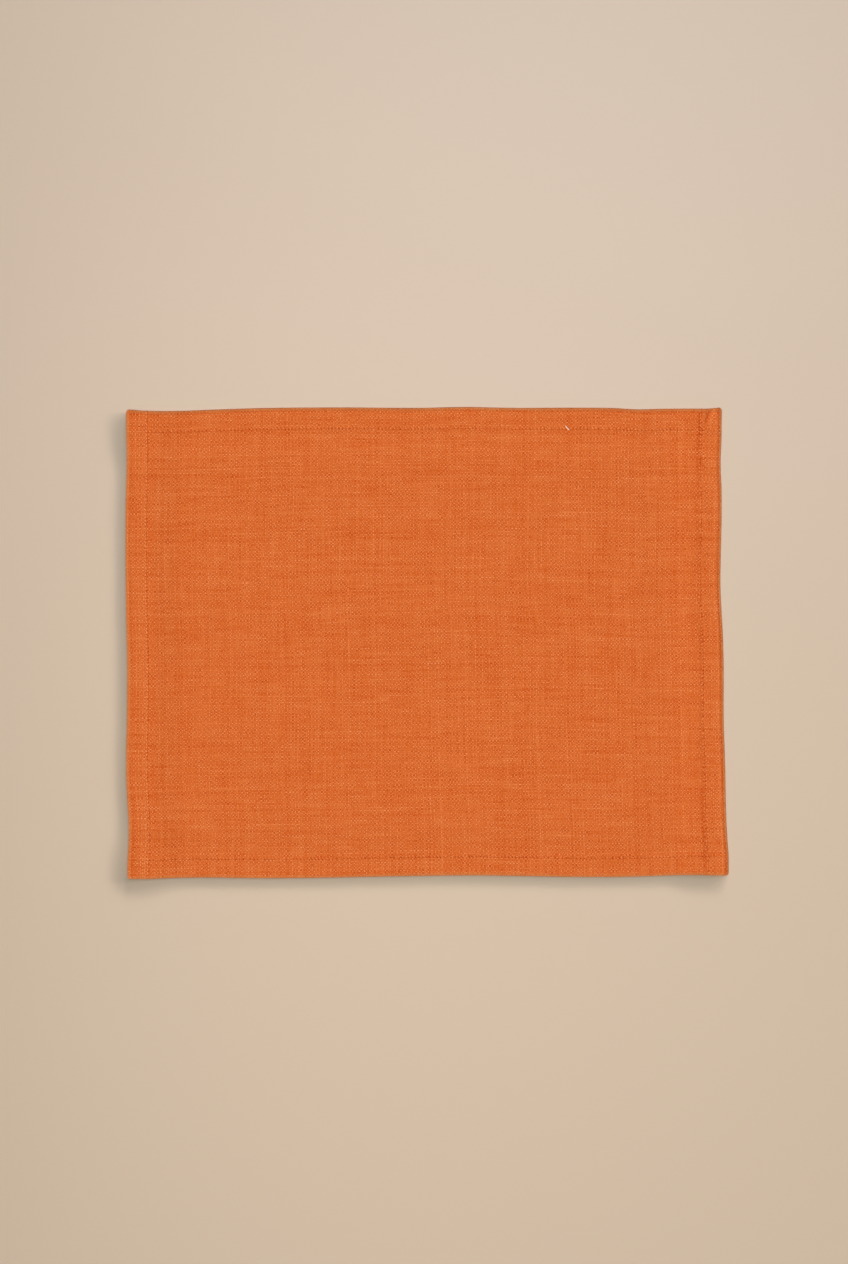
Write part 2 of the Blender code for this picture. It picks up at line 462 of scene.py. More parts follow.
def buildCloth():
    # The hemmed panel as one sheet from raw edge to raw edge, which a modifier thickens, and its size.
    placeX, layerX, partX, flatX = gridLine(matLength, "left", "right")
    placeY, layerY, partY, flatY = gridLine(matDepth, "near", "far")
    across, up = np.meshgrid(placeX, placeY, indexing="ij")
    layers = np.meshgrid(layerX, layerY, indexing="ij")
    parts = np.meshgrid(partX, partY, indexing="ij")
    x, y = planPlaces(across, up)
    z = layerHeights(across, up, layers, parts)

    # Inside the corners the turned-in cloth is left out.
    number = np.arange(x.size).reshape(x.shape)
    cellX = np.minimum(partX[:-1], partX[1:])[:, None]
    cellY = np.minimum(partY[:-1], partY[1:])[None, :]
    there = (cellX == top) | (cellY == top) | ((cellX == over) & (cellY == over))
    corners = [number[:-1, :-1], number[1:, :-1], number[1:, 1:], number[:-1, 1:]]
    faces = np.stack([c[there] for c in corners], axis=-1)
    used, faces = np.unique(faces, return_inverse=True)
    faces = faces.reshape(-1, 4)
    points = np.stack([x, y, z], axis=-1).reshape(-1, 3)[used]
    mesh = bpy.data.meshes.new("clothPanel")
    mesh.from_pydata(points.tolist(), [], faces.tolist())

    # The map counts threads on the flat cut cloth: u across the warp, v across the weft.
    u = (flatX[:, None] + uneven("warpLean", x, y)) / clothSettings["warpPitch"]
    v = (flatY[None, :] + uneven("weftBow", x, y)) / clothSettings["weftPitch"]
    threads = np.stack([u, v], axis=-1).reshape(-1, 2)[used]
    threadMap = mesh.uv_layers.new(name="threads")
    threadMap.data.foreach_set("uv", threads[faces.reshape(-1)].astype(np.float32).ravel())
    # The place on the hemmed mat, which the painted highlights and shade follow, in millimetres.
    places = np.stack([across, up, np.zeros_like(up)], axis=-1).reshape(-1, 3)[used] / mm
    attribute = mesh.attributes.new("matPlace", "FLOAT_VECTOR", "POINT")
    attribute.data.foreach_set("vector", places.astype(np.float32).ravel())

    cloth = putInScene(bpy.data.objects.new("clothPanel", mesh))
    solid = cloth.modifiers.new("thickness", "SOLIDIFY")
    solid.thickness = clothSettings["layer"]
    solid.offset = 0
    return cloth, (flatX[-1] - flatX[0], flatY[-1] - flatY[0])


# Tones are in steps of the picture's 256 greys, before the weave's own light and shade. Widths and
# lengths are in threads, and a noise scale is the number of features in the width of one thread.
dyeSettings = {
    "shades": (  # from the deepest to the palest
        (0.448, 0.0280, 0.0010, 1),
        (0.572, 0.0710, 0.0062, 1),
        (0.688, 0.1430, 0.0275, 1),
        (0.772, 0.2190, 0.0625, 1),
        (0.845, 0.2960, 0.1090, 1),
    ),
    "span": 77.0,  # between the deepest and the palest
    "warpWidth": 0.52,  # from the middle of a thread's round back to its side
    "weftWidth": 0.54,
    "dive": 0.3,  # how far a thread goes over and under its neighbours
    "wander": 0.8,  # how far threads stray, which bunches them together
    "wanderScale": 0.45,
    "wanderAlong": 0.12,  # and more slowly along the threads
    "weaveTone": 6.5,  # warp crossings against weft crossings, everywhere
    "uneven": 104.0,  # and from place to place
    "unevenScale": 0.33,
    "unevenMost": 17.0,
    "seenUnder": 0.2,  # how much a thread colours the crossings where it passes under
    "cellTone": 6.5,  # one crossing against the next
    "gapTone": 30.0,  # painted shade between threads, where the weave lies low
    "yarnStep": 7.31,  # keeps the noise of one yarn apart from the next one's
    "warpSeed": 11.0,
    "weftSeed": 53.0,
    "warpTone": 7.5,  # one warp thread against the next
    "pairTone": 5.0,  # every second warp thread against the others
    "weftTone": 7.0,
    "warpStreaks": ((60.0, 13.0), (24.0, 18.0), (8.0, 11.0)),  # length, tone
    "weftStreaks": ((60.0, 16.0), (24.0, 20.0), (8.0, 11.0)),
    "slubStep": 9.7,
    "slubSeed": 5.0,
    "slubLength": 16.0,
    "slubStart": 0.15,  # a higher start makes slubs rarer
    "slubTone": 126.0,
    "slubMost": 0.075,  # how far past the start the noise still counts
    "thinTone": 92.0,  # where a yarn is thin and its neighbours shade it
    "patchTone": 6.0,
    "patchScale": 0.05,
    "fibreTone": 16.0,  # fine streaks along each thread
    "fibreCount": 7.0,  # how much finer they are across the thread than along it
    "fibreTwist": 2.0,  # and how far they slant
    "fibreScale": 1.2,
    "bandSpread": 2.6,  # how much the bands vary along their length
    "bandScale": 0.22,
    "bands": (  # painted highlights and painted shade along the hem: side, millimetres in from the fold, half width, tone
        ("left", 1.5, 1.3, 2.0),
        ("left", 13.8, 1.6, 8.0),
        ("left", 16.9, 1.0, -3.0),
        ("right", 0.5, 1.4, 34.0),
        ("right", 2.1, 1.1, -10.0),
        ("right", 5.0, 2.2, 6.0),
        ("right", 17.8, 3.2, -2.0),
        ("near", 0.4, 1.0, 6.0),
        ("far", 0.5, 1.3, 14.0),
        ("far", 2.9, 1.1, -5.0),
    ),
    "marks": (  # painted shade along short lines, and a painted highlight on the corner crease's lit side: two ends in millimetres, half width and tone
        ((214.6, 177.0), (210.0, 166.5), 1.6, -13.0),
        ((216.8, 175.5), (213.2, 164.0), 1.2, 9.0),
        ((205.2, 173.0), (205.2, 165.5), 1.3, -12.0),
        ((205.4, 163.0), (205.6, 157.5), 1.3, -16.0),
        ((206.4, 140.0), (206.4, 134.0), 1.4, -14.0),
        ((205.5, 172.0), (204.2, 110.0), 2.6, -5.0),
        ((206.9, -112.0), (208.8, -168.0), 2.6, -7.0),
        ((-221.6, -118.0), (-222.6, -172.0), 1.8, -4.0),
    ),
    "rimShade": (0.36, 0.205, 0.080, 1),  # painted shade along the folds, a dull brown
    "rimReach": 3.0,  # how far in that reaches, in millimetres
    "rimShare": {"left": 0.56, "right": 0.34, "near": 0.46, "far": 0.40},  # and how much of it
    "spots": (  # small darker spots: x, y and radius in millimetres, and tone
        (-223.4, -157.5, 1.3, -14.0),
        (-223.2, -166.0, 1.1, -12.0),
        (-222.6, -175.0, 1.6, -14.0),
    ),
    "threadHeight": 0.16 * mm,  # of the relief that the weave shows
    "threadRelief": 0.6,
    "roughness": 0.9,
    "specular": 0.02,
}


def threadCrossings(tree, u, v):
    # The plain weave: the numbers of the two threads that cross at each place, the height of the
    # upper one, and 1 where that is the warp.
    warp, weft = calc(tree, "FLOOR", u), calc(tree, "FLOOR", v)
    atWarp = calc(tree, "SUBTRACT", calc(tree, "FRACT", u), 0.5)
    atWeft = calc(tree, "SUBTRACT", calc(tree, "FRACT", v), 0.5)
    odd = calc(tree, "ABSOLUTE", calc(tree, "MODULO", calc(tree, "ADD", warp, weft), 2.0))
    warpUp = calc(tree, "MULTIPLY_ADD", odd, 2.0, -1.0)  # 1 where the warp goes over, -1 elsewhere

    def crown(at, width):
        # A thread's round back: 1 in its middle, 0 at its sides.
        out = calc(tree, "DIVIDE", at, width)
        left = calc(tree, "SUBTRACT", 1.0, calc(tree, "MULTIPLY", out, out))
        return calc(tree, "SQRT", calc(tree, "MAXIMUM", left, 0.0))

    def rise(at):
        wave = calc(tree, "COSINE", calc(tree, "MULTIPLY", at, math.pi))
        return calc(tree, "MULTIPLY", warpUp, wave)

    dive = dyeSettings["dive"]
    warpTop = plus(tree, crown(atWarp, dyeSettings["warpWidth"]), rise(atWeft), dive)
    weftTop = plus(tree, crown(atWeft, dyeSettings["weftWidth"]), rise(atWarp), -dive)
    height = calc(tree, "MAXIMUM", warpTop, weftTop)
    return warp, weft, height, calc(tree, "GREATER_THAN", warpTop, weftTop)


def yarnTone(tree, number, along, seed, ownTone, streaks):
    # Each yarn has its own tone, which drifts along it in streaks.
    place = calc(tree, "MULTIPLY_ADD", number, dyeSettings["yarnStep"], seed)
    tone = calc(tree, "MULTIPLY", randomTone(tree, place), ownTone)
    for length, strength in streaks:
        at = vector(tree, calc(tree, "DIVIDE", along, length), place, seed)
        tone = plus(tree, tone, noise(tree, at, 1.0), strength)
    return tone


def slubTones(tree, weft, u, tone):
    # Thick and thin places of the weft yarns.
    start, most = dyeSettings["slubStart"], dyeSettings["slubMost"]
    row = calc(tree, "MULTIPLY_ADD", weft, dyeSettings["slubStep"], dyeSettings["slubSeed"])
    at = vector(tree, calc(tree, "DIVIDE", u, dyeSettings["slubLength"]), row, 2.0)
    thickness = noise(tree, at, 1.0)
    thin = calc(tree, "MAXIMUM", calc(tree, "SUBTRACT", -start, thickness), 0.0)
    slub = calc(tree, "MAXIMUM", calc(tree, "SUBTRACT", thickness, start), 0.0)
    tone = plus(tree, tone, calc(tree, "MINIMUM", slub, most), dyeSettings["slubTone"])
    return plus(tree, tone, calc(tree, "MINIMUM", thin, most), -dyeSettings["thinTone"])


def weaveTones(tree, uv):
    # The woven cloth's tone at each place, and the height of its threads. Each noise has a third
    # coordinate of its own, which keeps it apart from the others.
    dye = dyeSettings
    split = addNode(tree, "ShaderNodeSeparateXYZ", {0: uv})
    u, v = split.outputs[0], split.outputs[1]

    # Threads don't run quite straight, and neighbours bunch together.
    slowU = calc(tree, "MULTIPLY", u, dye["wanderAlong"])
    slowV = calc(tree, "MULTIPLY", v, dye["wanderAlong"])
    asideU = noise(tree, vector(tree, u, slowV, 1.0), dye["wanderScale"])
    asideV = noise(tree, vector(tree, slowU, v, 3.0), dye["wanderScale"])
    u = plus(tree, u, asideU, dye["wander"])
    v = plus(tree, v, asideV, dye["wander"])
    warp, weft, height, showsWarp = threadCrossings(tree, u, v)

    warpTone = yarnTone(tree, warp, v, dye["warpSeed"], dye["warpTone"], dye["warpStreaks"])
    weftTone = yarnTone(tree, weft, u, dye["weftSeed"], dye["weftTone"], dye["weftStreaks"])
    weftTone = slubTones(tree, weft, u, weftTone)
    pair = calc(tree, "ABSOLUTE", calc(tree, "MODULO", warp, 2.0))
    warpTone = plus(tree, warpTone, calc(tree, "SUBTRACT", pair, 0.5), dye["pairTone"])
    # A thread also colours the crossings where it passes under, as it shows at their sides.
    blend = calc(tree, "MULTIPLY_ADD", showsWarp, 1 - 2 * dye["seenUnder"], dye["seenUnder"])
    tone = mixed(tree, blend, weftTone, warpTone)

    crossing = calc(tree, "MULTIPLY_ADD", showsWarp, -2.0, 1.0)
    patches = noise(tree, vector(tree, u, v), dye["unevenScale"])
    contrast = plus(tree, 0.5 * dye["weaveTone"], patches, dye["uneven"])
    contrast = clamped(tree, contrast, -dye["unevenMost"], dye["unevenMost"])
    tone = plus(tree, tone, crossing, contrast)
    tone = plus(tree, tone, randomTone(tree, vector(tree, warp, weft), "Vector", "2D"), dye["cellTone"])
    tone = plus(tree, tone, noise(tree, uv, dye["patchScale"], 1.0), dye["patchTone"])
    # Painted shade where the weave lies low between its threads.
    tone = plus(tree, tone, calc(tree, "SUBTRACT", height, 1.0), dye["gapTone"])

    fineU = plus(tree, calc(tree, "MULTIPLY", u, dye["fibreCount"]), v, dye["fibreTwist"])
    fineV = plus(tree, calc(tree, "MULTIPLY", v, dye["fibreCount"]), u, dye["fibreTwist"])
    alongWarp = noise(tree, vector(tree, fineU, v, 5.0), dye["fibreScale"])
    alongWeft = noise(tree, vector(tree, u, fineV, 9.0), dye["fibreScale"])
    fibres = mixed(tree, showsWarp, alongWeft, alongWarp)
    return plus(tree, tone, fibres, dye["fibreTone"]), height


def nearness(tree, distance, centre, reach):
    # 1 at the centre, falling to 0 at this reach from it.
    off = calc(tree, "ABSOLUTE", calc(tree, "SUBTRACT", distance, centre))
    return calc(tree, "MAXIMUM", calc(tree, "MULTIPLY_ADD", off, -1 / reach, 1.0), 0.0)


def foldDistances(tree):
    # How far in from each fold, in millimetres.
    place = addNode(tree, "ShaderNodeAttribute", attribute_name="matPlace").outputs["Vector"]
    split = addNode(tree, "ShaderNodeSeparateXYZ", {0: place})
    across, up = split.outputs[0], split.outputs[1]
    return {
        "left": across,
        "right": calc(tree, "SUBTRACT", matLength / mm, across),
        "near": up,
        "far": calc(tree, "SUBTRACT", matDepth / mm, up),
    }


def hemTones(tree, tone, uv, inward):
    # Painted highlights and painted shade along the hem.
    spread = noise(tree, uv, dyeSettings["bandScale"], 1.0)
    bandVariation = calc(tree, "MULTIPLY_ADD", spread, dyeSettings["bandSpread"], 1.0)
    for side, centre, reach, strength in dyeSettings["bands"]:
        band = calc(tree, "MULTIPLY", nearness(tree, inward[side], centre, reach), bandVariation)
        tone = plus(tree, tone, band, strength)
    return tone


def markTones(tree, tone):
    # Small darker spots, and short lines of painted shade and painted highlight, at places seen from
    # above.
    point = addNode(tree, "ShaderNodeTexCoord").outputs["Object"]
    point = vectorMath(tree, "MULTIPLY", point, (1 / mm, 1 / mm, 0))
    for x, y, radius, strength in dyeSettings["spots"]:
        away = vectorMath(tree, "DISTANCE", point, (x, y, 0), "Value")
        tone = plus(tree, tone, nearness(tree, away, 0.0, radius), strength)
    for start, end, reach, strength in dyeSettings["marks"]:
        run = np.subtract(end, start)
        off = vectorMath(tree, "SUBTRACT", point, (*start, 0))
        share = vectorMath(tree, "DOT_PRODUCT", off, (*(run / (run @ run)), 0), "Value")
        share = clamped(tree, share, 0.0, 1.0)
        nearest = vectorMath(tree, "MULTIPLY", vector(tree, share, share), (*run, 0))
        away = vectorMath(tree, "DISTANCE", off, nearest, "Value")
        tone = plus(tree, tone, nearness(tree, away, 0.0, reach), strength)
    return tone


def rimShadeShare(tree, inward):
    # How much of the painted shade along the folds shows.
    foldShade = 0.0
    for side, share in dyeSettings["rimShare"].items():
        near = nearness(tree, inward[side], 0.0, dyeSettings["rimReach"])
        foldShade = calc(tree, "MAXIMUM", foldShade, calc(tree, "MULTIPLY", near, share))
    return foldShade


def clothMaterial():
    material, shader = newMaterial("slubCloth", dyeSettings["roughness"], dyeSettings["specular"])
    tree = material.node_tree
    uv = addNode(tree, "ShaderNodeUVMap", uv_map="threads").outputs[0]
    inward = foldDistances(tree)
    tone, height = weaveTones(tree, uv)
    tone = markTones(tree, hemTones(tree, tone, uv, inward))
    factor = calc(tree, "MULTIPLY_ADD", tone, 1 / dyeSettings["span"], 0.5)
    colour = shadesRamp(tree, factor, dyeSettings["shades"])
    # Sockets 6 and 7 of a Mix node are its two colours, and 2 is the mixed one.
    # The folds are mixed towards a dull brown as painted shade.
    mixing = {0: rimShadeShare(tree, inward), 6: colour, 7: dyeSettings["rimShade"]}
    mix = addNode(tree, "ShaderNodeMix", mixing, data_type="RGBA")
    tree.links.new(mix.outputs[2], shader.inputs["Base Color"])
    relief = {
        "Height": height,
        "Distance": dyeSettings["threadHeight"],
        "Strength": dyeSettings["threadRelief"],
    }
    bump = addNode(tree, "ShaderNodeBump", relief)
    tree.links.new(bump.outputs[0], shader.inputs["Normal"])
    return material


slubCloth = clothMaterial()
cutPanel, cutSize = buildCloth()
placemat = madePlain(cutPanel, "placematCloth")
placemat.data.materials.append(slubCloth)
placemat.data.shade_smooth()
placemat.data.set_sharp_from_angle(angle=math.radians(clothSettings["sharp"]))
faceCount = len(placemat.data.polygons)
print(f"cloth made: {faceCount} faces, cut {cutSize[0] / mm:.0f} x {cutSize[1] / mm:.0f} mm")


seamSettings = {
    "pitch": 2.7 * mm,  # from stitch to stitch
    "length": 2.30 * mm,
    "lengthSpread": (0.9, 1.08),  # the shortest and longest, as shares of that
    "thickness": 0.60 * mm,
    "endThickness": 0.7,  # of a stitch's two ends, as a share of that
    "arch": 0.34 * mm,  # how far a stitch's middle stands over its ends
    "sink": 0.06 * mm,  # how deep the thread beds into the cloth
    "slant": 16.0,  # degrees that the stitches lie off the line
    "tilt": 6.0,  # and how much that varies
    "seed": 12,
    "hole": 0.41 * mm,  # the radius of a needle hole, a small cylinder whose dark colour is painted shade
    "holeAside": 1.25 * mm,  # how far it lies to the right of the line of sewing
    "holeLift": 0.11 * mm,  # and its top over the thread's middle line
    "holeDepth": 0.3 * mm,
    "outerEnd": 1.8 * mm,  # where the side lines end, from the near and far folds
    "linePoints": 260,  # on each line of sewing
    "lowest": 0.33 * mm,  # how near the floor the thread's middle line comes
    "tones": {"left": 0.18, "right": -0.04, "near": -0.04, "far": 0.0},  # paler or deeper; the left line's paler tone is a painted highlight from the light on the left
    "shades": (  # from the deepest to the palest
        (0.500, 0.034, 0.001, 1),
        (0.700, 0.150, 0.026, 1),
        (0.980, 0.350, 0.100, 1),
    ),
    "middleShare": 0.75,  # how much paler a stitch's middle is than its ends, whose deeper tone is painted shade where the thread goes down
    "holeShare": 0.05,  # how much deeper the painted shade of a needle hole is
    "holeMost": 0.55,  # and its palest place on the scale of shades
    "mottle": 1.5,
    "holeMottle": 2.5,  # and so much more on needle holes, as some hardly show
    "mottleScale": 420.0,  # features in a metre
    "twist": 0.5 * mm,  # the length of one turn of the thread's strands
    "twistHeight": 0.05 * mm,
    "twistRelief": 0.6,
    "roughness": 0.65,
    "specular": 0.03,
}


def stitchTree():
    # A row of lockstitches along curves.
    tree = bpy.data.node_groups.new("lockstitches", "GeometryNodeTree")
    kinds = {
        "Seam Lines": "Geometry",
        "Pitch": "Float",
        "Stitch Length": "Float",
        "Thread Thickness": "Float",
        "Arch": "Float",
        "Hole Radius": "Float",
        "Hole Lift": "Float",
        "Hole Depth": "Float",
        "Hole Aside": "Float",
        "Slant": "Float",
        "Tilt": "Float",
        "Turn Over": "Float",
        "Seed": "Int",
        "Thread Material": "Material",
    }
    for name, kind in kinds.items():
        tree.interface.new_socket(name, in_out="INPUT", socket_type=f"NodeSocket{kind}")
    tree.interface.new_socket("Stitches", in_out="OUTPUT", socket_type="NodeSocketGeometry")
    given = tree.nodes.new("NodeGroupInput").outputs

    # One stitch, and the needle hole beside it, a small cylinder coloured as painted shade.
    half = calc(tree, "MULTIPLY", given["Stitch Length"], 0.5)
    back = calc(tree, "MULTIPLY", half, -1.0)
    down = calc(tree, "MULTIPLY", given["Arch"], -1.0)
    arc = addNode(
        tree,
        "GeometryNodeCurveQuadraticBezier",
        {
            "Resolution": 5,
            "Start": vector(tree, back, 0.0, down),
            "Middle": vector(tree, 0.0, 0.0, given["Arch"]),
            "End": vector(tree, half, 0.0, down),
        },
    ).outputs[0]
    factor = tree.nodes.new("GeometryNodeSplineParameter").outputs["Factor"]
    middleness = calc(tree, "SINE", calc(tree, "MULTIPLY", factor, math.pi))
    thin = seamSettings["endThickness"]
    radius = calc(tree, "MULTIPLY_ADD", middleness, 1 - thin, thin)
    arc = addNode(tree, "GeometryNodeSetCurveRadius", {"Curve": arc, "Radius": radius}).outputs[0]
    ring = addNode(
        tree,
        "GeometryNodeCurvePrimitiveCircle",
        {"Resolution": 6, "Radius": calc(tree, "MULTIPLY", given["Thread Thickness"], 0.5)},
        mode="RADIUS",
    ).outputs[0]
    stitch = addNode(
        tree, "GeometryNodeCurveToMesh", {"Curve": arc, "Profile Curve": ring, "Fill Caps": True}
    ).outputs[0]
    hole = addNode(
        tree,
        "GeometryNodeMeshCylinder",
        {"Vertices": 8, "Radius": given["Hole Radius"], "Depth": given["Hole Depth"]},
    ).outputs["Mesh"]
    aside = calc(tree, "MULTIPLY", given["Hole Aside"], -1.0)
    low = calc(tree, "MULTIPLY_ADD", given["Hole Depth"], -0.5, given["Hole Lift"])
    holeAt = vector(tree, calc(tree, "MULTIPLY", given["Pitch"], 0.5), aside, low)
    hole = addNode(tree, "GeometryNodeTransform", {"Geometry": hole, "Translation": holeAt}).outputs[0]
    both = tree.nodes.new("GeometryNodeJoinGeometry")
    tree.links.new(stitch, both.inputs[0])
    tree.links.new(hole, both.inputs[0])
    # The place on a stitch, which the thread's material reads.
    stitch = addNode(
        tree,
        "GeometryNodeStoreNamedAttribute",
        {"Geometry": both.outputs[0], "Name": "stitchPlace"},
        data_type="FLOAT_VECTOR",
        domain="POINT",
    )
    tree.links.new(tree.nodes.new("GeometryNodeInputPosition").outputs[0], stitch.inputs["Value"])

    lines = addNode(tree, "GeometryNodeMeshToCurve", {"Mesh": given["Seam Lines"]}).outputs[0]
    points = addNode(
        tree, "GeometryNodeCurveToPoints", {"Curve": lines, "Length": given["Pitch"]}, mode="LENGTH"
    )
    turned = addNode(
        tree, "FunctionNodeAlignRotationToVector", {"Vector": points.outputs["Tangent"]}, axis="X"
    ).outputs[0]

    def random(low, high, offset):
        # Min and Max come once for each kind of number, so the ones for floats are picked out.
        seed = calc(tree, "ADD", given["Seed"], float(offset))
        node = addNode(tree, "FunctionNodeRandomValue", {"Seed": seed}, data_type="FLOAT")
        floats = [i for i in node.inputs if i.type == "VALUE" and i.name in ("Min", "Max")]
        for socket, value in zip(floats, (low, high)):
            if isinstance(value, bpy.types.NodeSocket):
                tree.links.new(value, socket)
            else:
                socket.default_value = value
        return next(o for o in node.outputs if o.type == "VALUE")

    tilt = random(calc(tree, "MULTIPLY", given["Tilt"], -1.0), given["Tilt"], 1)
    tilt = calc(tree, "ADD", tilt, given["Slant"])
    turn = addNode(tree, "FunctionNodeEulerToRotation", {0: vector(tree, given["Turn Over"], 0.0, tilt)})
    turned = addNode(
        tree,
        "FunctionNodeRotateRotation",
        {"Rotation": turned, "Rotate By": turn.outputs[0]},
        rotation_space="LOCAL",
    ).outputs[0]
    size = random(*seamSettings["lengthSpread"], 2)
    placed = addNode(
        tree,
        "GeometryNodeInstanceOnPoints",
        {
            "Points": points.outputs["Points"],
            "Instance": stitch.outputs[0],
            "Rotation": turned,
            "Scale": vector(tree, size, 1.0, 1.0),
        },
    ).outputs[0]
    real = addNode(tree, "GeometryNodeRealizeInstances", {"Geometry": placed}).outputs[0]
    smooth = addNode(tree, "GeometryNodeSetShadeSmooth", {"Geometry": real}).outputs[0]
    inputs = {"Geometry": smooth, "Material": given["Thread Material"]}
    dressed = addNode(tree, "GeometryNodeSetMaterial", inputs).outputs[0]
    addNode(tree, "NodeGroupOutput", {0: dressed})
    return tree


def threadMaterial():
    material, shader = newMaterial("seamThread", seamSettings["roughness"], seamSettings["specular"])
    tree = material.node_tree
    place = addNode(tree, "ShaderNodeAttribute", attribute_name="stitchPlace").outputs["Vector"]
    x, y, z = addNode(tree, "ShaderNodeSeparateXYZ", {0: place}).outputs
    out = calc(tree, "DIVIDE", calc(tree, "ABSOLUTE", x), seamSettings["length"] / 2)
    middleness = calc(tree, "SUBTRACT", 1.0, calc(tree, "POWER", out, 4.0))
    middleness = calc(tree, "MAXIMUM", middleness, 0.0)  # 0 where the thread goes down: painted shade at the stitch's ends
    threadSide = 0.5 * seamSettings["thickness"] + 0.02 * mm  # what lies further out is the hole
    inHole = calc(tree, "GREATER_THAN", calc(tree, "ABSOLUTE", y), threadSide)
    middleness = calc(tree, "MULTIPLY_ADD", inHole, -seamSettings["holeShare"], middleness)
    point = addNode(tree, "ShaderNodeTexCoord").outputs["Object"]
    mottle = calc(tree, "MULTIPLY_ADD", inHole, seamSettings["holeMottle"], seamSettings["mottle"])
    tone = calc(tree, "MULTIPLY", noise(tree, point, seamSettings["mottleScale"], 1.0), mottle)
    # Each line of sewing's tone: the left one paler as a painted highlight.
    own = addNode(tree, "ShaderNodeAttribute", attribute_name="seamTone").outputs["Fac"]
    tone = calc(tree, "ADD", tone, own)
    factor = calc(tree, "MULTIPLY_ADD", middleness, seamSettings["middleShare"], tone)
    palest = calc(tree, "MULTIPLY_ADD", inHole, seamSettings["holeMost"] - 1.0, 1.0)
    factor = calc(tree, "MINIMUM", factor, palest)
    tree.links.new(shadesRamp(tree, factor, seamSettings["shades"]), shader.inputs["Base Color"])
    angle = calc(tree, "ARCTAN2", z, y)
    twist = calc(tree, "SINE", calc(tree, "MULTIPLY_ADD", x, 2 * math.pi / seamSettings["twist"], angle))
    relief = {
        "Height": twist,
        "Distance": seamSettings["twistHeight"],
        "Strength": seamSettings["twistRelief"],
    }
    bump = addNode(tree, "ShaderNodeBump", relief)
    tree.links.new(bump.outputs[0], shader.inputs["Normal"])
    return material


def seamLines(underside):
    # The four lines of sewing: the side ones run out into the corners, the others between them.
    lines = {}
    bed = seamSettings["thickness"] / 2 - seamSettings["sink"]
    for side in ("left", "right", "near", "far"):
        upright = side in ("left", "right")
        if upright:
            span, start, end = matLength, seamSettings["outerEnd"], matDepth - seamSettings["outerEnd"]
        else:
            span, start, end = matDepth, seamPlace("left"), matLength - seamPlace("right")
        along = np.linspace(start, end, seamSettings["linePoints"])
        place = np.full_like(along, seamPlace(side))
        if side in ("right", "far"):
            place = span - place
        across, up = (place, along) if upright else (along, place)
        x, y = planPlaces(across, up)
        stack, base, _, pull = clothHeights(across, up)
        if underside:
            low = 0 if upright else base
            z = np.maximum(low + clothSettings["underPull"] * pull - bed, seamSettings["lowest"])
        else:
            z = stack + clothSettings["layer"] + bed
        lines[side] = np.stack([x, y, z], axis=-1)
    return lines


def makeStitches(name, underside):
    points, links, tones = [], [], []
    for side, line in seamLines(underside).items():
        links += [(len(points) + i, len(points) + i + 1) for i in range(len(line) - 1)]
        points += line.tolist()
        tones += [seamSettings["tones"][side]] * len(line)
    mesh = bpy.data.meshes.new(name)
    mesh.from_pydata(points, links, [])
    mesh.attributes.new("seamTone", "FLOAT", "POINT").data.foreach_set("value", tones)
    lines = putInScene(bpy.data.objects.new(name + "Lines", mesh))
    modifier = lines.modifiers.new("stitches", "NODES")
    modifier.node_group = lockstitches
    values = {
        "Pitch": seamSettings["pitch"],
        "Stitch Length": seamSettings["length"],
        "Thread Thickness": seamSettings["thickness"],
        "Arch": seamSettings["arch"],
        "Hole Radius": seamSettings["hole"],
        "Hole Lift": seamSettings["holeLift"],
        "Hole Depth": seamSettings["holeDepth"],
        "Hole Aside": seamSettings["holeAside"],
        "Slant": math.radians(seamSettings["slant"]),
        "Tilt": math.radians(seamSettings["tilt"]),
        "Turn Over": math.pi if underside else 0.0,
        "Seed": seamSettings["seed"] + underside,
        "Thread Material": seamThread,
    }
    for item in lockstitches.interface.items_tree:
        if item.name in values:
            modifier[item.identifier] = values[item.name]
    stitches = madePlain(lines, name)
    print(f"{name}: {len(stitches.data.polygons)} faces")
    return stitches


threadEndSettings = {
    "points": ((104.5, 163.8), (105.2, 162.7), (106.1, 161.7), (107.3, 160.5)),  # millimetres
    "thickness": 0.72 * mm,
    "lift": 0.12 * mm,  # its middle line over the cloth
    "steps": 9,
    "tip": 0.5,  # how thick its two ends are, against its middle
    "colour": (0.92, 0.74, 0.58, 1),
    "roughness": 0.8,
}


def makeThreadEnd():
    # The pale thread end that lies on the cloth beside the far seam.
    t = threadEndSettings
    ends = np.array(t["points"]) * mm
    step = np.concatenate([[0], np.cumsum(np.hypot(*np.diff(ends, axis=0).T))])
    at = np.linspace(0, step[-1], t["steps"] + 1)
    x, y = (smoothThrough((step, ends[:, k]), at) for k in (0, 1))
    across, up = x - middle["left"], y - middle["near"]
    z = clothHeights(across, up)[0] + clothSettings["layer"] + t["lift"]
    curve = bpy.data.curves.new("threadEnd", "CURVE")
    curve.dimensions = "3D"
    curve.bevel_depth = t["thickness"] / 2
    curve.bevel_resolution = 1
    curve.use_fill_caps = True
    line = curve.splines.new("POLY")
    line.points.add(t["steps"])
    for point, place in zip(line.points, zip(x, y, z)):
        point.co = (*place, 1)
        point.radius = 1.0
    line.points[0].radius = line.points[-1].radius = t["tip"]
    material, shader = newMaterial("paleThread", t["roughness"])
    shader.inputs["Base Color"].default_value = t["colour"]
    curve.materials.append(material)
    print("thread end made")
    return madePlain(putInScene(bpy.data.objects.new("threadEnd", curve)), "threadEnd")


lockstitches = stitchTree()
seamThread = threadMaterial()
topStitches = makeStitches("topStitches", False)
underStitches = makeStitches("underStitches", True)
threadEnd = makeThreadEnd()


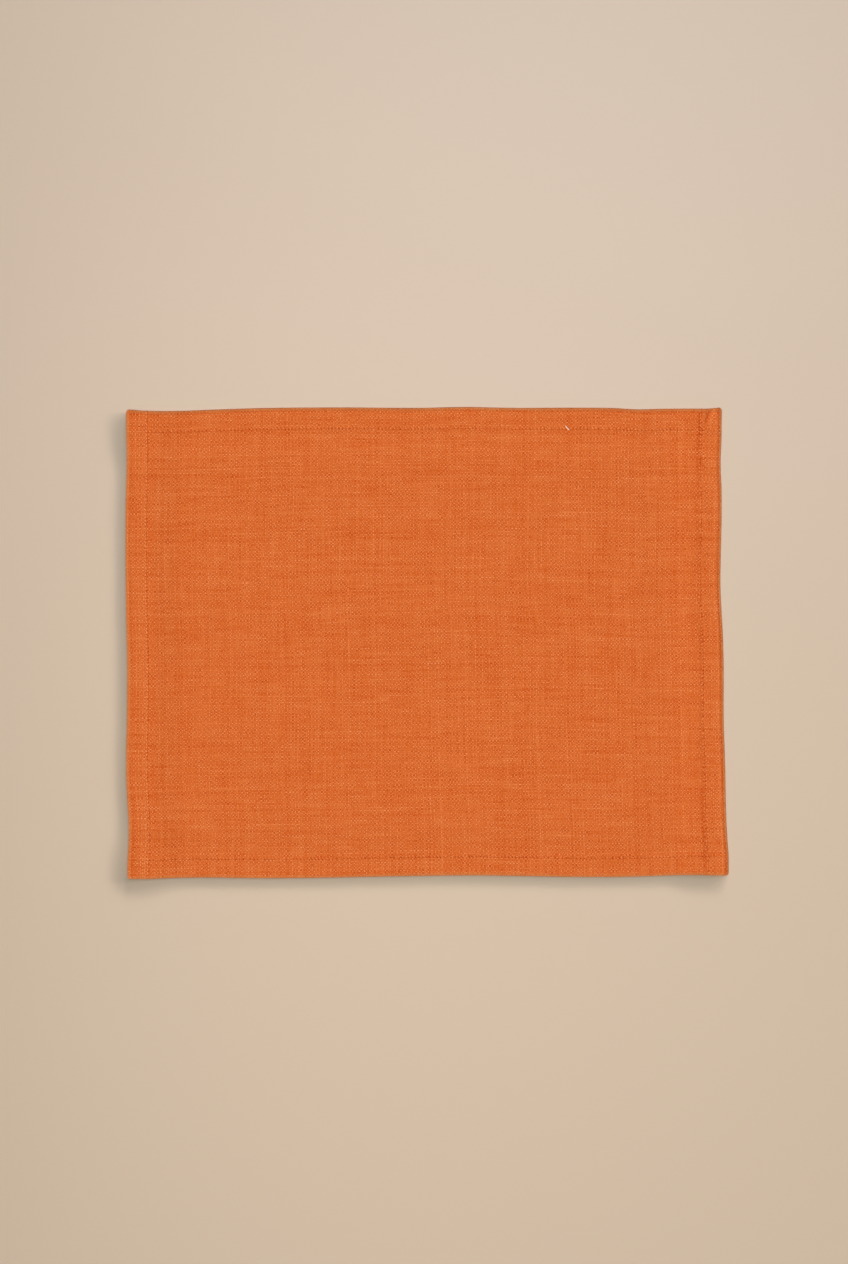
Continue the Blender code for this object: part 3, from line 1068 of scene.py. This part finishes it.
studioSettings = {
    "frameWidth": 640 * mm,  # what the picture takes in at the floor
    "pictureSize": (848, 1264),
    "aim": (-2.3 * mm, 8.3 * mm),  # the middle of the picture, from the middle of the mat
    "lens": 85,
    "floorSide": 60.0,  # wide enough to meet the sky in a low view
    "floorColour": (0.817, 0.646, 0.455, 1),
    "floorRoughness": 0.95,
    "floorSpecular": 0.1,
    "skyAbove": (0.070, 0.068, 0.066, 1),
    "skyEdge": (0.560, 0.450, 0.330, 1),  # as pale as the floor is far away
    "skyEdgeHeight": 0.10,  # how high the pale edge reaches, as the sine of its angle
}

# Each sun is a broad soft light. Height and bearings are in degrees, a bearing from +X towards +Y,
# the strength is shared between the bearings, and a light for the mat or the floor reaches only that.
suns = (
    {
        "name": "ceilingLight",
        "height": 90,
        "bearings": (0,),
        "spread": 56,
        "strength": 0.31,
        "colour": (1.0, 1.0, 1.0),
        "lights": "all",
    },
    {
        "name": "upperLight",
        "height": 90,
        "bearings": (0,),
        "spread": 56,
        "strength": 1.55,
        "colour": (0.963, 1.012, 1.085),
        "lights": "mat",
    },
    {
        "name": "sideLight",
        "height": 36,
        "bearings": (206,),
        "spread": 36,
        "strength": 1.87,
        "colour": (1.04, 1.0, 0.90),
        "lights": "mat",
    },
    {
        "name": "lowLight",
        "height": 10.4,
        "bearings": (12, 35, 55, 78),
        "spread": 7,
        "strength": 6.1,
        "colour": (1.04, 0.94, 0.99),
        "lights": "floor",
    },
    {
        "name": "roomLight",
        "height": 90,
        "bearings": (0,),
        "spread": 56,
        "strength": 0.41,
        "colour": (0.80, 1.01, 1.16),
        "lights": "floor",
    },
)

# Soft panels that only shade the floor from side to side, so they cast no shadow: where each stands
# and the point that it faces.
panels = (
    {
        "name": "overheadPanel",
        "place": (-0.18, -0.063, 0.625),
        "faces": (1.0, 0.0, 0.0),
        "size": (0.9, 0.5),
        "power": 1.345,
        "colour": (1.06, 1.0, 0.90),
        "lights": "floor",
    },
    {
        "name": "windowPanel",
        "place": (0.124, 0.47, 0.5),
        "faces": (0.0, 0.1, 0.0),
        "size": (0.6, 0.6),
        "power": 1.0,
        "colour": (0.373, 0.549, 0.958),
        "lights": "floor",
    },
)


def makeFloor():
    material, shader = newMaterial(
        "paleFloor", studioSettings["floorRoughness"], studioSettings["floorSpecular"]
    )
    shader.inputs["Base Color"].default_value = studioSettings["floorColour"]
    half = studioSettings["floorSide"] / 2
    mesh = bpy.data.meshes.new("floor")
    corners = [(-half, -half, 0), (half, -half, 0), (half, half, 0), (-half, half, 0)]
    mesh.from_pydata(corners, [], [(0, 1, 2, 3)])
    floor = putInScene(bpy.data.objects.new("floor", mesh))
    floor.data.materials.append(material)
    return floor


def addLight(lamp, given, groups):
    # Light linking: a light whose group is named reaches only the things in it.
    lamp.color = given["colour"]
    light = putInScene(bpy.data.objects.new(given["name"], lamp))
    if given["lights"] in groups:
        light.light_linking.receiver_collection = groups[given["lights"]]
    return light


def makeLights(lit):
    groups = {}
    for name, things in lit.items():
        groups[name] = bpy.data.collections.new(f"{name}Light")
        for thing in things:
            groups[name].objects.link(thing)
    for sun in suns:
        lamp = bpy.data.lights.new(sun["name"], "SUN")
        lamp.energy = sun["strength"] / len(sun["bearings"])
        lamp.angle = math.radians(sun["spread"])
        for bearing in sun["bearings"]:
            light = addLight(lamp, sun, groups)
            light.rotation_euler = (0, math.radians(90 - sun["height"]), math.radians(bearing))
    for panel in panels:
        lamp = bpy.data.lights.new(panel["name"], "AREA")
        lamp.shape = "RECTANGLE"
        lamp.size, lamp.size_y = panel["size"]
        lamp.energy = panel["power"]
        lamp.use_shadow = False
        light = addLight(lamp, panel, groups)
        light.location = panel["place"]
        back = Vector([a - b for a, b in zip(panel["place"], panel["faces"])])
        light.rotation_euler = back.to_track_quat("Z", "Y").to_euler()
        light.visible_camera = False


def makeSky():
    # Pale at the floor's edge and dim above.
    world = bpy.data.worlds.new("sky")
    world.use_nodes = True
    tree = world.node_tree
    direction = addNode(tree, "ShaderNodeTexCoord").outputs["Generated"]
    height = addNode(tree, "ShaderNodeSeparateXYZ", {0: direction}).outputs[2]
    share = calc(tree, "DIVIDE", height, studioSettings["skyEdgeHeight"])
    sky = shadesRamp(tree, share, (studioSettings["skyEdge"], studioSettings["skyAbove"]))
    tree.links.new(sky, tree.nodes["Background"].inputs[0])
    bpy.context.scene.world = world


def makeCamera():
    s = studioSettings
    camera = putInScene(bpy.data.objects.new("camera", bpy.data.cameras.new("camera")))
    camera.data.lens = s["lens"]
    wide, tall = s["pictureSize"]
    frameHeight = s["frameWidth"] * tall / wide
    camera.location = (*s["aim"], frameHeight * s["lens"] / camera.data.sensor_width)
    bpy.context.scene.camera = camera
    bpy.context.scene.view_settings.view_transform = "Standard"
    bpy.context.scene.cycles.denoising_prefilter = "NONE"  # keeps the weave


floor = makeFloor()
makeLights({"mat": [placemat, topStitches, underStitches, threadEnd], "floor": [floor]})
makeSky()
makeCamera()
print("floor, lights, sky and camera made")

for piece in (placemat, topStitches, underStitches, threadEnd):
    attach(piece, "root")
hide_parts(matNode)
